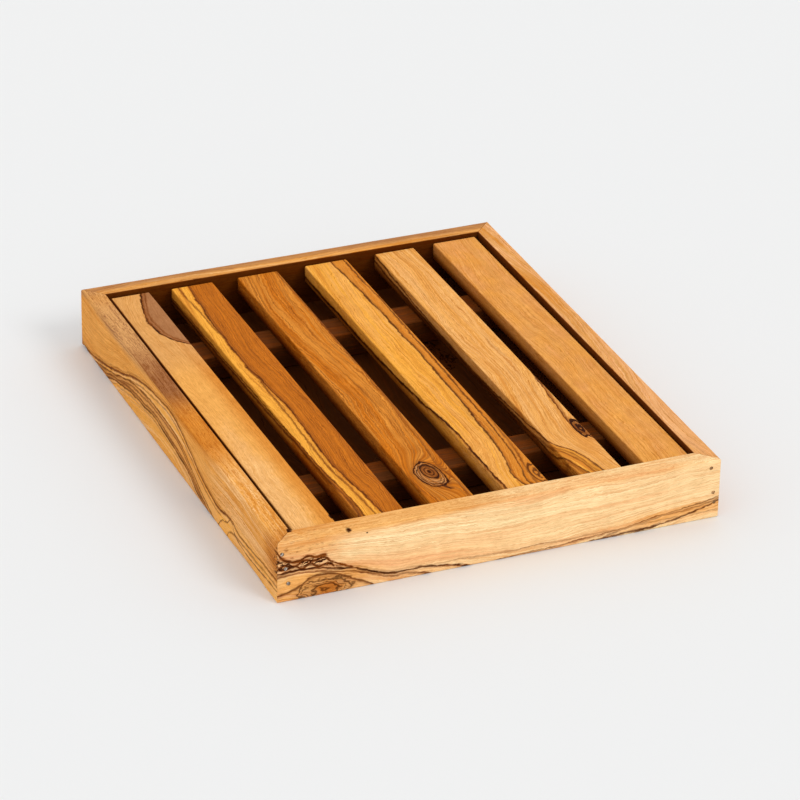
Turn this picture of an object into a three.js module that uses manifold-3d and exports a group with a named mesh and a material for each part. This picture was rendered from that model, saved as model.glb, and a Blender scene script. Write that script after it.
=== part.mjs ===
import * as THREE from "three";
import { mergeVertices } from "three/addons/utils/BufferGeometryUtils.js";
import Module from "manifold-3d";

// Bread board with crumb tray, in millimetres. Four mitred rails stand round a floor board that
// sits in their grooves. Inside lies a loose grate of slats on two battens, which lifts straight out.
// +X runs along the front rail, +Y from front to back, +Z up. The origin is under the tray's middle.

// The tray as a whole
const trayWidth = 300;
const trayLength = 366;
const trayHeight = 42.5;
const glueLine = 0.1; // gap that a glued joint keeps between its two faces

// Rails
const railThickness = 13.4;
const railOuterTopRound = 1.8;
const railInnerTopRound = 1.1;
const railOuterFootRound = 1.4;
const railInnerFootRound = 0.8;

// Floor board, captured in a groove round the inside of the rails
const floorLift = 4;
const floorThickness = 6;
const grooveDepth = 5;
const grooveSlack = 0.1; // under and over the board
const floorPlay = 0.5; // between the board's edge and the groove's bottom, for the wood to move
const floorCorner = 2;
const floorEase = 0.6;

// Grate
const rimHeight = 2.5; // how far the rails stand above the slats
const grateSidePlay = 2.05;
const grateEndPlay = 2.3;
const grateTurn = THREE.MathUtils.degToRad(0.25); // the loose grate lies a little askew in its play
const restGap = 0.3; // under the battens

// Slats, which are ripped and spaced by eye
const slatWidth = 30.1;
const slatThickness = 12;
const slatRound = 1.2;
const slatCorner = 1.6;
const slatWidthShares = [0.953, 0.993, 0.977, 1.033, 0.99, 1.054]; // of slatWidth, left to right
const slatGapShares = [0.173, 0.203, 0.225, 0.233, 0.166]; // of the width that the slats leave free
const grateCornerWidth = 10; // the grate's four outer corners are eased, so it drops in easily
const grateCornerDepth = 3;

// Battens under the slats
const battenWidth = 25;
const battenSetback = 58; // from the slats' ends to the batten's near side
const battenEndInset = 4; // from the grate's side to the batten's end
const battenRound = 1;
const battenCorner = 1.5;

// Headed brads across the mitres, and pins that hold the battens to the slats from below
const bradLength = 28;
const bradRadius = 0.7;
const bradHeadRadius = 1.15;
const bradHeadThickness = 0.8;
const bradTipLength = 2.4;
const bradHeadSink = 0.15; // the head lies just under the wood
const bradClearance = 0.12;
const pinBite = 8; // into the slat
const cutOverrun = 1;

// Each row of brads: how far in from the rail's end, as shares of railThickness, and how high, as
// shares of trayHeight, from the top brad down. The front rows are placed as the photographed ones.
const bradRows = {
  front_left: { insetShares: [0.24, 0.42, 0.55], heightShares: [0.8, 0.55, 0.3] },
  front_right: { insetShares: [0.49, 0.31, 0.24], heightShares: [0.86, 0.44, 0.27] },
  back_left: { insetShares: [0.4, 0.42, 0.38], heightShares: [0.8, 0.54, 0.29] },
  back_right: { insetShares: [0.42, 0.38, 0.4], heightShares: [0.81, 0.55, 0.28] },
};

// Facets of round shapes
const roundSteps = 3;
const bradSides = 10;

// Places that follow from the sizes above
const grooveHeight = floorThickness + grooveSlack * 2;
const floorTop = floorLift + grooveSlack + floorThickness;
const innerWidth = trayWidth - railThickness * 2;
const innerLength = trayLength - railThickness * 2;
const grateWidth = innerWidth - grateSidePlay * 2;
const grateLength = innerLength - grateEndPlay * 2;
const slatBase = trayHeight - rimHeight - slatThickness;
const battenBase = floorTop + restGap;
const battenThickness = slatBase - glueLine - battenBase;
const pinLength = battenThickness + glueLine + pinBite - bradHeadSink;

const wood = (name, color) =>
  new THREE.MeshStandardMaterial({ name, color, roughness: 0.5, metalness: 0 });
const paleOlive = wood("olive_pale", 0xe3b06c);
const honeyOlive = wood("olive_honey", 0xc98f4c);
const brownOlive = wood("olive_brown", 0xb07a45);
const bradSteel = new THREE.MeshStandardMaterial({
  name: "brad_steel",
  color: 0xb9b7b2,
  roughness: 0.35,
  metalness: 1,
});

const wasm = await Module();
wasm.setup();

// A closed geometry as a solid that can be cut.
function solidOf(geometry) {
  const bare = geometry.index ? geometry.toNonIndexed() : geometry.clone();
  bare.deleteAttribute("normal");
  bare.deleteAttribute("uv");
  const merged = mergeVertices(bare);
  const triVerts = new Uint32Array(merged.index.array);
  const vertProperties = merged.attributes.position.array;
  return new wasm.Manifold(new wasm.Mesh({ numProp: 3, vertProperties, triVerts }));
}

function geometryOf(solid) {
  const { vertProperties, triVerts } = solid.getMesh();
  const geometry = new THREE.BufferGeometry();
  geometry.setAttribute("position", new THREE.BufferAttribute(vertProperties, 3));
  geometry.setIndex(new THREE.BufferAttribute(triVerts, 1));
  geometry.computeVertexNormals();
  return geometry;
}

function piece(name, geometry, material) {
  const mesh = new THREE.Mesh(geometry, material);
  mesh.name = name;
  return mesh;
}

// The rail's section: across is the distance in from its outer face, up is the height.
function railSection() {
  const section = new THREE.Shape();
  const grooveBottom = railThickness - grooveDepth;
  section.moveTo(railOuterFootRound, 0);
  section.lineTo(railThickness - railInnerFootRound, 0);
  section.quadraticCurveTo(railThickness, 0, railThickness, railInnerFootRound);
  section.lineTo(railThickness, floorLift);
  section.lineTo(grooveBottom, floorLift);
  section.lineTo(grooveBottom, floorLift + grooveHeight);
  section.lineTo(railThickness, floorLift + grooveHeight);
  section.lineTo(railThickness, trayHeight - railInnerTopRound);
  section.quadraticCurveTo(railThickness, trayHeight, railThickness - railInnerTopRound, trayHeight);
  section.lineTo(railOuterTopRound, trayHeight);
  section.quadraticCurveTo(0, trayHeight, 0, trayHeight - railOuterTopRound);
  section.lineTo(0, railOuterFootRound);
  section.quadraticCurveTo(0, 0, railOuterFootRound, 0);
  const points = section.getPoints(roundSteps);
  points.pop(); // the last point is the first one again
  return points;
}

// A rail along X with its outer face on Y = 0. Each point of the section runs from one mitre to the
// other, so it starts and ends as far in from the corners as it lies from the outer face.
function mitredRail(length) {
  const section = railSection();
  const count = section.length;
  const mitreSetback = glueLine / Math.SQRT2;
  const positions = [];
  for (const side of [-1, 1]) {
    for (const point of section) {
      positions.push(side * (length / 2 - point.x - mitreSetback), point.x, point.y);
    }
  }
  const faces = [];
  for (let i = 0; i < count; i++) {
    const next = (i + 1) % count;
    faces.push(i, next, next + count, i, next + count, i + count);
  }
  for (const [a, b, c] of THREE.ShapeUtils.triangulateShape(section, [])) {
    faces.push(c, b, a, a + count, b + count, c + count);
  }
  const geometry = new THREE.BufferGeometry();
  geometry.setAttribute("position", new THREE.Float32BufferAttribute(positions, 3));
  geometry.setIndex(faces);
  geometry.computeVertexNormals();
  return geometry;
}

// A rectangle's outline, with each corner rounded by its own width and depth.
function boardOutline(width, length, corners) {
  const halfWidth = width / 2;
  const halfLength = length / 2;
  const { frontLeft, frontRight, backRight, backLeft } = corners;
  const outline = new THREE.Shape();
  outline.moveTo(-halfWidth + frontLeft.width, -halfLength);
  outline.lineTo(halfWidth - frontRight.width, -halfLength);
  outline.quadraticCurveTo(halfWidth, -halfLength, halfWidth, -halfLength + frontRight.depth);
  outline.lineTo(halfWidth, halfLength - backRight.depth);
  outline.quadraticCurveTo(halfWidth, halfLength, halfWidth - backRight.width, halfLength);
  outline.lineTo(-halfWidth + backLeft.width, halfLength);
  outline.quadraticCurveTo(-halfWidth, halfLength, -halfWidth, halfLength - backLeft.depth);
  outline.lineTo(-halfWidth, -halfLength + frontLeft.depth);
  outline.quadraticCurveTo(-halfWidth, -halfLength, -halfWidth + frontLeft.width, -halfLength);
  return outline;
}

// A flat board that stands on Z = 0, with its upper and lower edges rounded.
function easedBoard(outline, thickness, round) {
  const geometry = new THREE.ExtrudeGeometry(outline, {
    depth: thickness - round * 2,
    bevelThickness: round,
    bevelSize: round,
    bevelOffset: -round,
    bevelSegments: roundSteps,
    curveSegments: roundSteps,
  });
  return geometry.translate(0, 0, round);
}

function evenCorners(radius) {
  const corner = { width: radius, depth: radius };
  return { frontLeft: corner, frontRight: corner, backRight: corner, backLeft: corner };
}

// A headed brad along +Y, with the head's face on Y = 0.
function bradGeometry(length) {
  const profile = [
    new THREE.Vector2(0, 0),
    new THREE.Vector2(bradHeadRadius, 0),
    new THREE.Vector2(bradHeadRadius, bradHeadThickness),
    new THREE.Vector2(bradRadius, bradHeadThickness),
    new THREE.Vector2(bradRadius, length - bradTipLength),
    new THREE.Vector2(0, length),
  ];
  return new THREE.LatheGeometry(profile, bradSides);
}

// The hole that a brad sits in: the brad grown by its clearance, and open at the head.
function bradHole(length) {
  const headRadius = bradHeadRadius + bradClearance;
  const radius = bradRadius + bradClearance;
  const profile = [
    new THREE.Vector2(0, -cutOverrun),
    new THREE.Vector2(headRadius, -cutOverrun),
    new THREE.Vector2(headRadius, bradHeadThickness + bradClearance),
    new THREE.Vector2(radius, bradHeadThickness + bradClearance),
    new THREE.Vector2(radius, length - bradTipLength + bradClearance),
    new THREE.Vector2(0, length + bradClearance),
  ];
  return new THREE.LatheGeometry(profile, bradSides);
}

// Cuts the holes of some brads in a board. Both stand in the same group.
function drill(board, brads, length) {
  board.updateMatrix();
  const intoBoard = board.matrix.clone().invert();
  let solid = solidOf(board.geometry);
  for (const brad of brads) {
    brad.updateMatrix();
    const hole = bradHole(length);
    hole.applyMatrix4(brad.matrix);
    hole.applyMatrix4(intoBoard);
    solid = solid.subtract(solidOf(hole));
  }
  board.geometry = geometryOf(solid);
}

function makeTray() {
  const tray = new THREE.Group();
  const front = piece("front_rail", mitredRail(trayWidth), paleOlive);
  front.position.y = -trayLength / 2;
  const back = piece("back_rail", mitredRail(trayWidth), brownOlive);
  back.position.y = trayLength / 2;
  back.rotation.z = Math.PI;
  const left = piece("left_rail", mitredRail(trayLength), honeyOlive);
  left.position.x = -trayWidth / 2;
  left.rotation.z = -Math.PI / 2;
  const right = piece("right_rail", mitredRail(trayLength), honeyOlive);
  right.position.x = trayWidth / 2;
  right.rotation.z = Math.PI / 2;

  // Three brads go through the front or back rail's mitre into the end of the side rail.
  const ends = [
    { row: "front_left", across: front, along: left, sideX: -1, sideY: -1 },
    { row: "front_right", across: front, along: right, sideX: 1, sideY: -1 },
    { row: "back_left", across: back, along: left, sideX: -1, sideY: 1 },
    { row: "back_right", across: back, along: right, sideX: 1, sideY: 1 },
  ];
  for (const { row, across, along, sideX, sideY } of ends) {
    const { insetShares, heightShares } = bradRows[row];
    const brads = insetShares.map((insetShare, i) => {
      const brad = piece(`brad_${row}_${i + 1}`, bradGeometry(bradLength), bradSteel);
      brad.position.set(
        sideX * (trayWidth / 2 - insetShare * railThickness),
        sideY * (trayLength / 2 - bradHeadSink),
        heightShares[i] * trayHeight,
      );
      brad.rotation.z = sideY > 0 ? Math.PI : 0;
      return brad;
    });
    drill(across, brads, bradLength);
    drill(along, brads, bradLength);
    tray.add(...brads);
  }

  const edgeIntoGroove = grooveDepth - floorPlay;
  const floorOutline = boardOutline(
    innerWidth + edgeIntoGroove * 2,
    innerLength + edgeIntoGroove * 2,
    evenCorners(floorCorner),
  );
  const floor = piece("floor_board", easedBoard(floorOutline, floorThickness, floorEase), honeyOlive);
  floor.position.z = floorLift + grooveSlack;
  tray.add(front, back, left, right, floor);
  return tray;
}

// The slats from left to right: each one's middle and width.
function slatLayout() {
  const widths = slatWidthShares.map((share) => share * slatWidth);
  const free = grateWidth - widths.reduce((sum, width) => sum + width, 0);
  let leftSide = -grateWidth / 2;
  return widths.map((width, i) => {
    const middle = leftSide + width / 2;
    leftSide += width + free * (slatGapShares[i] ?? 0);
    return { middle, width };
  });
}

function makeGrate() {
  const grate = new THREE.Group();
  grate.rotation.z = grateTurn;
  const small = { width: slatCorner, depth: slatCorner };
  const eased = { width: grateCornerWidth, depth: grateCornerDepth };
  const layout = slatLayout();
  const slats = layout.map(({ middle, width }, i) => {
    const leftCorner = i === 0 ? eased : small;
    const rightCorner = i === layout.length - 1 ? eased : small;
    const outline = boardOutline(width, grateLength, {
      frontLeft: leftCorner,
      frontRight: rightCorner,
      backRight: rightCorner,
      backLeft: leftCorner,
    });
    const board = easedBoard(outline, slatThickness, slatRound);
    const slat = piece(`slat_${i + 1}`, board, i % 2 ? honeyOlive : paleOlive);
    slat.position.set(middle, 0, slatBase);
    return slat;
  });

  const battenY = grateLength / 2 - battenSetback - battenWidth / 2;
  const battenLength = grateWidth - battenEndInset * 2;
  for (const [place, sideY] of [["front", -1], ["back", 1]]) {
    const outline = boardOutline(battenLength, battenWidth, evenCorners(battenCorner));
    const board = easedBoard(outline, battenThickness, battenRound);
    const batten = piece(`${place}_batten`, board, brownOlive);
    batten.position.set(0, sideY * battenY, battenBase);
    const pins = slats.map((slat, i) => {
      const pin = piece(`pin_${place}_${i + 1}`, bradGeometry(pinLength), bradSteel);
      pin.position.set(slat.position.x, sideY * battenY, battenBase + bradHeadSink);
      pin.rotation.x = Math.PI / 2;
      drill(slat, [pin], pinLength);
      return pin;
    });
    drill(batten, pins, pinLength);
    grate.add(batten, ...pins);
  }
  grate.add(...slats);
  return grate;
}

const board = new THREE.Group();
board.add(makeTray(), makeGrate());

export default board;
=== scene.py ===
"""Bread board with crumb tray, in oiled olive wood.

Four mitred rails and a floor board make the tray. A loose grate of six slats on two battens
lies in it. Sizes are in metres, and in millimetres in the tables and in the wood's patterns.
"""

from math import cos, pi, radians, sin

import bpy
from bpy.props import (
    FloatProperty,
    FloatVectorProperty,
    IntProperty,
    PointerProperty,
)
from mathutils import Matrix, Quaternion, Vector


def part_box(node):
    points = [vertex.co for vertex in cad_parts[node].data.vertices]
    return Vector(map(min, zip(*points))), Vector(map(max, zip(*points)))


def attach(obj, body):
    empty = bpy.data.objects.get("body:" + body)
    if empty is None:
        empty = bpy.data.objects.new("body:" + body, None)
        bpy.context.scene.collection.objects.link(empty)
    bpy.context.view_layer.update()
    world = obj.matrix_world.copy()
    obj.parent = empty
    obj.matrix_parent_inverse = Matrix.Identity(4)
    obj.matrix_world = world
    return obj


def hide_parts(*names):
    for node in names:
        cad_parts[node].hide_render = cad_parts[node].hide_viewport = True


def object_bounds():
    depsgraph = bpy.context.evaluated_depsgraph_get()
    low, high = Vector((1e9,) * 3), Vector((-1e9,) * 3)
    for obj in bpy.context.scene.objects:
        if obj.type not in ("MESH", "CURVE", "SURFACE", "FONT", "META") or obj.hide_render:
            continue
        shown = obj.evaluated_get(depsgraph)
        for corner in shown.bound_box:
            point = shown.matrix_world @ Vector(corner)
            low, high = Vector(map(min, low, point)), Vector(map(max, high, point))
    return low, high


bl_info = {
    "name": "Bread Board With Crumb Tray",
    "version": (1, 0, 0),
    "blender": (4, 5, 0),
    "location": "3D View > Sidebar > Bread Board",
    "description": "Builds a mitred olive-wood crumb tray with its loose slatted grate",
    "category": "Add Mesh",
}

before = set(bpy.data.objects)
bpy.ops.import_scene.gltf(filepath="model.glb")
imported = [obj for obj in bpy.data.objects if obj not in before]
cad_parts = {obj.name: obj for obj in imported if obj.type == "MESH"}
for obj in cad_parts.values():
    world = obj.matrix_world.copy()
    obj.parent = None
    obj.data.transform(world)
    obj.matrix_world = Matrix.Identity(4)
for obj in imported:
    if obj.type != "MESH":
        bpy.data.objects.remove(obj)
cad_low, cad_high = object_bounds()

# One millimetre in metres.
MM = 0.001

# Places that are closer than this are the same place, in metres.
TOUCH = 1e-6

# Two faces that meet at more than SHARP get a rounded edge, and at less than SMOOTH they look
# like one face.
SHARP, SMOOTH = radians(50), radians(32)


# Settings.


def number(name, description, default, **how):
    return FloatProperty(name=name, description=description, default=default, **how)


def length(name, description, default):
    return number(name, description, default, min=0.0, precision=4, unit="LENGTH")


def angle(name, description, degrees):
    return number(name, description, radians(degrees), subtype="ANGLE")


def colour(name, description, default):
    return FloatVectorProperty(
        name=name, description=description, default=default, size=3, min=0.0, max=1.0,
        subtype="COLOR",
    )


class TraySizes(bpy.types.PropertyGroup):
    """The tray's outer sizes, its edges and how unevenly the wood is sanded."""

    width: length("Width", "Across the front rail", cad_high.x - cad_low.x)
    depth: length("Depth", "From the front rail to the back rail", cad_high.y - cad_low.y)
    height: length("Height", "From the table to the rim", cad_high.z - cad_low.z)
    rail: length("Rail thickness", "Thickness of the four rails", 13.4 * MM)
    outer_round: length("Outer top edge", "Rounding of the rim's outer edge", 1.7 * MM)
    inner_round: length("Inner top edge", "Rounding of the rim's inner edge", 1.0 * MM)
    foot_round: length("Foot edge", "Rounding of the rails' lower edges", 1.2 * MM)
    mitre_round: length("Mitre edge", "Rounding of the mitres' edges", 0.18 * MM)
    floor_round: length("Floor edge", "Rounding of the floor board's edges", 0.6 * MM)
    glue_line: length("Glue line", "Gap between two glued faces", 0.1 * MM)
    unevenness: length("Unevenness", "How far hand sanding dips into a face", 0.28 * MM)
    under_unevenness: length("Unevenness below", "The same under the slats", 0.2 * MM)


class GrateSizes(bpy.types.PropertyGroup):
    """How the loose grate lies in the tray, and its edges."""

    turn: angle("Turn", "How far the loose grate lies askew in the tray", 0.25)
    edge_round: length("Slat edge", "Rounding of the slats' long edges", 1.15 * MM)
    eased_width: length("Eased corner width", "Easing of the grate's corners, across", 10 * MM)
    eased_depth: length("Eased corner depth", "Easing of the grate's corners, along", 3 * MM)
    batten_round: length("Batten edge", "Rounding of the battens' edges", 1.0 * MM)


class BradSizes(bpy.types.PropertyGroup):
    """The headed brads across the mitres and the pins under the grate."""

    shank: length("Shank radius", "Radius of the wire", 0.7 * MM)
    head: length("Head radius", "Radius of the head", 1.15 * MM)
    head_thickness: length("Head thickness", "Thickness of the head", 0.8 * MM)
    head_round: length("Head edge", "Rounding of the head's edges", 0.14 * MM)
    tip: length("Tip", "Length of the point", 2.4 * MM)
    sink: length("Sink", "How far the head lies under the wood", 0.15 * MM)
    brad_length: length("Brad length", "Length of a brad with its head", 28 * MM)
    pin_length: length("Pin length", "Length of a pin with its head", 25.45 * MM)
    sides: IntProperty(name="Sides", description="Facets round the wire", default=24, min=8)


class WoodColours(bpy.types.PropertyGroup):
    """The colours of oiled olive wood, from its sapwood to its darkest lines."""

    cream: colour("Cream", "Palest sapwood", (0.98, 0.745, 0.40))
    peach: colour("Peach", "Warm sapwood", (0.94, 0.56, 0.25))
    rose: colour("Rose", "Pink streaks in the sapwood", (0.84, 0.40, 0.17))
    gold: colour("Gold", "Light heartwood", (0.86, 0.40, 0.092))
    tan: colour("Tan", "Dull heartwood", (0.70, 0.35, 0.12))
    straw: colour("Straw", "Yellow heartwood", (0.95, 0.43, 0.055))
    amber: colour("Amber", "Orange heartwood", (0.70, 0.25, 0.032))
    # Ginger, honey and brown were matched to wood in deep shadow, so they are partly painted
    # shade.
    ginger: colour("Ginger", "Orange-red heartwood", (0.66, 0.182, 0.008))
    honey: colour("Honey", "Middle heartwood", (0.57, 0.158, 0.011))
    brown: colour("Brown", "Dark heartwood", (0.27, 0.070, 0.010))
    mauve: colour("Mauve", "Stained heartwood", (0.40, 0.165, 0.062))
    # Umber is partly painted shade: darker than the floor board and battens would be in full
    # light.
    umber: colour("Umber", "Old oiled wood underneath", (0.17, 0.058, 0.017))
    dark: colour("Dark", "The darkest lines", (0.042, 0.009, 0.002))


class StageSettings(bpy.types.PropertyGroup):
    """The floor, the light and the camera."""

    floor: colour("Floor", "Colour of the floor", (0.83, 0.835, 0.835))
    floor_size: length("Floor size", "Length of the floor's sides", 14.0)
    sky: number("Sky", "Strength of the even light", 0.90, min=0.0)
    sun: number("Sun", "Strength of the soft lamp at the front right", 0.78, min=0.0)
    softness: angle("Softness", "How wide the lamp looks", 24)
    direction: FloatVectorProperty(
        name="Direction", description="Where the lamp shines", default=(-0.38, 0.68, -0.62),
        subtype="DIRECTION",
    )
    azimuth: angle("Azimuth", "The camera's turn round the board", -23.2385)
    elevation: angle("Elevation", "The camera's height above the table", 28.2386)
    roll: angle("Roll", "The camera's lean", 1.1845)
    distance: length("Distance", "From the camera to what it looks at", 2.8349)
    focal: number("Focal length", "In millimetres on a 36 mm frame", 191.72)
    target: FloatVectorProperty(
        name="Target", description="What the camera looks at", default=(0.0217, 0.0331, 0.0),
        subtype="XYZ", unit="LENGTH",
    )


class BreadBoardSettings(bpy.types.PropertyGroup):
    """Everything that a user would change."""

    tray: PointerProperty(type=TraySizes)
    grate: PointerProperty(type=GrateSizes)
    brads: PointerProperty(type=BradSizes)
    wood: PointerProperty(type=WoodColours)
    stage: PointerProperty(type=StageSettings)


def settings():
    return bpy.context.scene.bread_board


# Modelling.


def deselect_all():
    bpy.ops.object.select_all(action="DESELECT")


def make_active(piece):
    deselect_all()
    piece.select_set(True)
    bpy.context.view_layer.objects.active = piece


def apply_place(piece):
    """Moves an object's place into its mesh, so that the object sits at the origin."""
    make_active(piece)
    bpy.ops.object.transform_apply(location=True, rotation=True, scale=True)


def add_block(name, low, high):
    """A block from one corner to the other."""
    low, high = Vector(low), Vector(high)
    deselect_all()
    bpy.ops.mesh.primitive_cube_add(size=1, location=(low + high) / 2, scale=high - low)
    piece = bpy.context.active_object
    piece.name = piece.data.name = name
    apply_place(piece)
    return piece


def start_picking(piece, kind):
    """Deselects the whole mesh, and picks its vertices, edges or faces from now on."""
    make_active(piece)
    mesh = piece.data
    kinds = ("VERTICES", "EDGES", "FACES")
    bpy.context.tool_settings.mesh_select_mode = [name == kind for name in kinds]
    for parts in (mesh.vertices, mesh.edges, mesh.polygons):
        parts.foreach_set("select", [False] * len(parts))
    return mesh


def shape_edges(piece, belongs, tool, **how):
    """Runs one edit mode tool on the edges whose two ends pass the test."""
    mesh = start_picking(piece, "EDGES")
    for edge in mesh.edges:
        edge.select = belongs(*(mesh.vertices[i].co for i in edge.vertices))
    bpy.ops.object.mode_set(mode="EDIT")
    tool(**how)
    bpy.ops.object.mode_set(mode="OBJECT")


def along_axis(axis):
    """A test for edges that run along one axis."""
    others = [i for i in range(3) if i != axis]
    return lambda a, b: all(abs(a[i] - b[i]) < TOUCH for i in others)


def subdivide(piece, axis, cuts):
    """Cuts the edges along an axis, so that sanding has points to move."""
    shape_edges(piece, along_axis(axis), bpy.ops.mesh.subdivide, number_cuts=cuts)


def slice_off(piece, point, normal):
    """Cuts the piece at a plane and removes what lies on the normal's side."""
    make_active(piece)
    bpy.ops.object.mode_set(mode="EDIT")
    bpy.ops.mesh.select_all(action="SELECT")
    bpy.ops.mesh.bisect(plane_co=point, plane_no=normal, use_fill=True, clear_outer=True)
    bpy.ops.object.mode_set(mode="OBJECT")


def bevel(radius, segments):
    """Rounds the selected edges."""
    bpy.ops.mesh.bevel(
        offset=radius, offset_type="OFFSET", segments=segments, profile=0.5, affect="EDGES"
    )


def round_edges(piece, belongs, radius, segments=4):
    """Rounds the edges whose two ends pass the test."""
    shape_edges(piece, belongs, bevel, radius=radius, segments=segments)


def round_sharp_edges(piece, radius, segments=4):
    """Rounds every edge that is sharp."""
    start_picking(piece, "EDGES")
    bpy.ops.object.mode_set(mode="EDIT")
    bpy.ops.mesh.edges_select_sharp(sharpness=SHARP)
    bevel(radius, segments)
    bpy.ops.object.mode_set(mode="OBJECT")


def sand(piece, dip, seed):
    """Hand sanding: the faces dip softly here and there, and never rise."""
    texture = bpy.data.textures.new("hand_sanding", type="CLOUDS")
    texture.noise_scale = 0.045 + 0.004 * (seed % 3)
    modifier = piece.modifiers.new("hand_sanding", type="DISPLACE")
    modifier.texture = texture
    modifier.strength = dip
    modifier.mid_level = 1.0
    make_active(piece)
    bpy.ops.object.modifier_apply(modifier=modifier.name)
    bpy.data.textures.remove(texture)


def press(piece, spot, reach, shift):
    """Pushes the vertex nearest to the spot, and its neighbours with it, as a worn place."""
    mesh = start_picking(piece, "VERTICES")
    nearest = min(mesh.vertices, key=lambda vertex: (vertex.co - Vector(spot)).length)
    nearest.select = True
    bpy.ops.object.mode_set(mode="EDIT")
    bpy.ops.transform.translate(
        value=shift, use_proportional_edit=True, proportional_edit_falloff="SMOOTH",
        proportional_size=reach,
    )
    bpy.ops.object.mode_set(mode="OBJECT")


def finish(piece, material, body, node):
    """Gives a piece its material and smooth shading, hangs it from its body's empty and hides its
    CAD node.
    """
    make_active(piece)
    bpy.ops.object.shade_smooth_by_angle(angle=SMOOTH)
    piece.data.materials.clear()
    piece.data.materials.append(material)
    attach(piece, body)
    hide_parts(node)
    deselect_all()


# Wood.


class Bench:
    """Writes a node tree as sums of sockets."""

    def __init__(self, tree):
        self.tree = tree

    def node(self, kind, inputs=None, **how):
        node = self.tree.nodes.new(kind)
        for name, value in how.items():
            setattr(node, name, value)
        self.feed(node, inputs or {})
        return node

    def feed(self, node, inputs):
        for key, value in inputs.items():
            if isinstance(value, bpy.types.NodeSocket):
                self.tree.links.new(value, node.inputs[key])
            else:
                node.inputs[key].default_value = value

    def math(self, operation, *values):
        node = self.node("ShaderNodeMath", dict(enumerate(values)), operation=operation)
        return node.outputs[0]

    def add(self, first, second):
        return self.math("ADD", first, second)

    def sub(self, first, second):
        return self.math("SUBTRACT", first, second)

    def mul(self, first, second):
        return self.math("MULTIPLY", first, second)

    def scale(self, value, factor, shift):
        return self.math("MULTIPLY_ADD", value, factor, shift)

    def most(self, first, second):
        return self.math("MAXIMUM", first, second)

    def size(self, value):
        return self.math("ABSOLUTE", value)

    def swing(self, noise, amount):
        """How far noise lies from its middle, times the amount."""
        return self.mul(self.sub(noise, 0.5), amount)

    def step(self, value, low, high):
        """0 below low, 1 above high and a soft step between."""
        node = self.node(
            "ShaderNodeMapRange", {"Value": value, "From Min": low, "From Max": high},
            interpolation_type="SMOOTHSTEP",
        )
        return node.outputs[0]

    def fall(self, value, low, high):
        """1 below low, 0 above high and a soft step between."""
        return self.sub(1.0, self.step(value, low, high))

    def vector(self, x, y, z):
        return self.node("ShaderNodeCombineXYZ", {0: x, 1: y, 2: z}).outputs[0]

    def stretch(self, vector, factors, shift):
        node = self.node(
            "ShaderNodeVectorMath", {0: vector, 1: factors, 2: shift}, operation="MULTIPLY_ADD"
        )
        return node.outputs[0]

    def noise(self, vector, detail=2.0, roughness=0.5, distortion=0.0):
        """Noise from 0 to 1, with features about one unit wide."""
        node = self.node(
            "ShaderNodeTexNoise",
            {
                "Vector": vector, "Scale": 1.0, "Detail": detail, "Roughness": roughness,
                "Distortion": distortion,
            },
        )
        return node.outputs[0]

    def blend(self, factor, first, second, kind="MIX"):
        node = self.node(
            "ShaderNodeMix", {0: factor, 6: first, 7: second}, data_type="RGBA", blend_type=kind
        )
        return node.outputs[2]

    def path(self, along, reach, points, low=-60.0, high=60.0):
        """A smooth curve through points, read at along. It runs from 0 to reach, and its height
        stays between low and high."""
        curve = self.node("ShaderNodeFloatCurve", {1: self.math("DIVIDE", along, reach)})
        line = curve.mapping.curves[0]
        spots = [(x / reach, (y - low) / (high - low)) for x, y in points]
        line.points[0].location, line.points[-1].location = spots[0], spots[-1]
        for spot in spots[1:-1]:
            line.points.new(*spot)
        curve.mapping.update()
        return self.scale(curve.outputs[0], high - low, low)


def rgba(value):
    return (*value, 1.0)


def shifted(points, by):
    """The same path, higher or lower."""
    return [(x, y + by) for x, y in points]


def empty_material(name):
    material = bpy.data.materials.new(name)
    material.use_nodes = True
    material.node_tree.nodes.clear()
    return material


FIGURE_INPUTS = [
    ("Along", "Float"), ("Field", "Float"), ("Into", "Float"), ("Seed", "Float"),
    ("Pale", "Color"), ("Mid", "Color"), ("Deep", "Color"), ("Contrast", "Float"),
    ("Rings", "Float"), ("Veins", "Float"), ("Stain", "Float"), ("Halo", "Float"),
    ("Line", "Float"),
]
FIGURE_OUTPUTS = [("Color", "Color"), ("Roughness", "Float"), ("Height", "Float")]


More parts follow.
